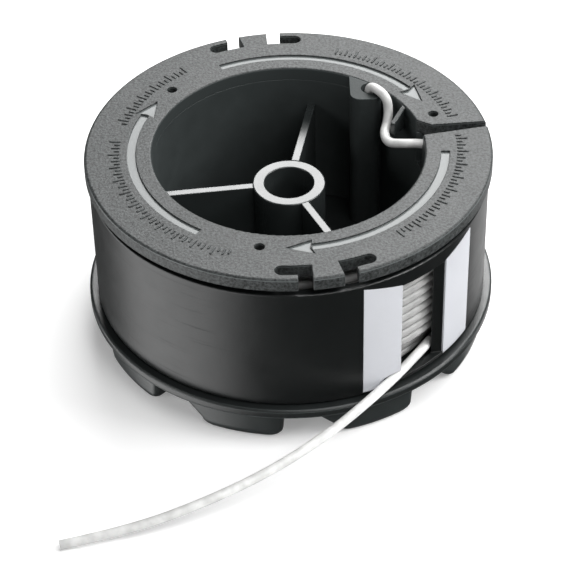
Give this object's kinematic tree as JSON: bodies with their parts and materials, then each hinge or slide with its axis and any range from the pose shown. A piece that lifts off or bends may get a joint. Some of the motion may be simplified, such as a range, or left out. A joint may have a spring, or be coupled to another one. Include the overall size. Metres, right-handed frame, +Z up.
{
  "type": "string reel",
  "caption": "Trimmer line spool: flanged drum with ribbed hub, wound nylon line, a guard sleeve that turns round it with an exit window, and a scalloped base.",
  "frame": {"origin": "on the spool's axis at the level its feet stand on", "axes": "+Z up the spool's axis towards the flange with the arrows; -Y is the side that the line's free end leaves from; +X is to the right of that side"},
  "size_m": [0.108, 0.1383, 0.0553],
  "materials": {
    "textured_black": "spark-eroded matt moulding with smooth sunk arrows",
    "moulded_black": "satin injection moulding",
    "gloss_black": "smooth semi-gloss moulding",
    "pale_plate": "smooth blank pale plate",
    "nylon_line": "milky extruded nylon"
  },
  "bodies": {
    "spool": {"top_flange": "textured_black", "drum_wall": "moulded_black", "hub_tube": "moulded_black", "hub_rib_left": "moulded_black", "hub_rib_back": "moulded_black", "hub_rib_front": "moulded_black", "anchor_post": "moulded_black", "anchor_nib": "moulded_black", "base_cap": "moulded_black", "foot_1": "moulded_black", "foot_2": "moulded_black", "foot_3": "moulded_black", "foot_4": "moulded_black", "foot_5": "moulded_black", "foot_6": "moulded_black", "foot_7": "moulded_black", "foot_8": "moulded_black", "foot_9": "moulded_black", "line_winding": "nylon_line", "line_inner_end": "nylon_line"},
    "guard": {"guard_sleeve": "gloss_black", "wear_plate_left": "pale_plate", "wear_plate_right": "pale_plate", "line_tail": "nylon_line"}
  },
  "joints": [
    {"name": "guard_turn", "type": "hinge", "parent": "spool", "child": "guard", "pos_m": [0, 0, 0], "axis": [0, 0, 1], "continuous": true}
  ]
}
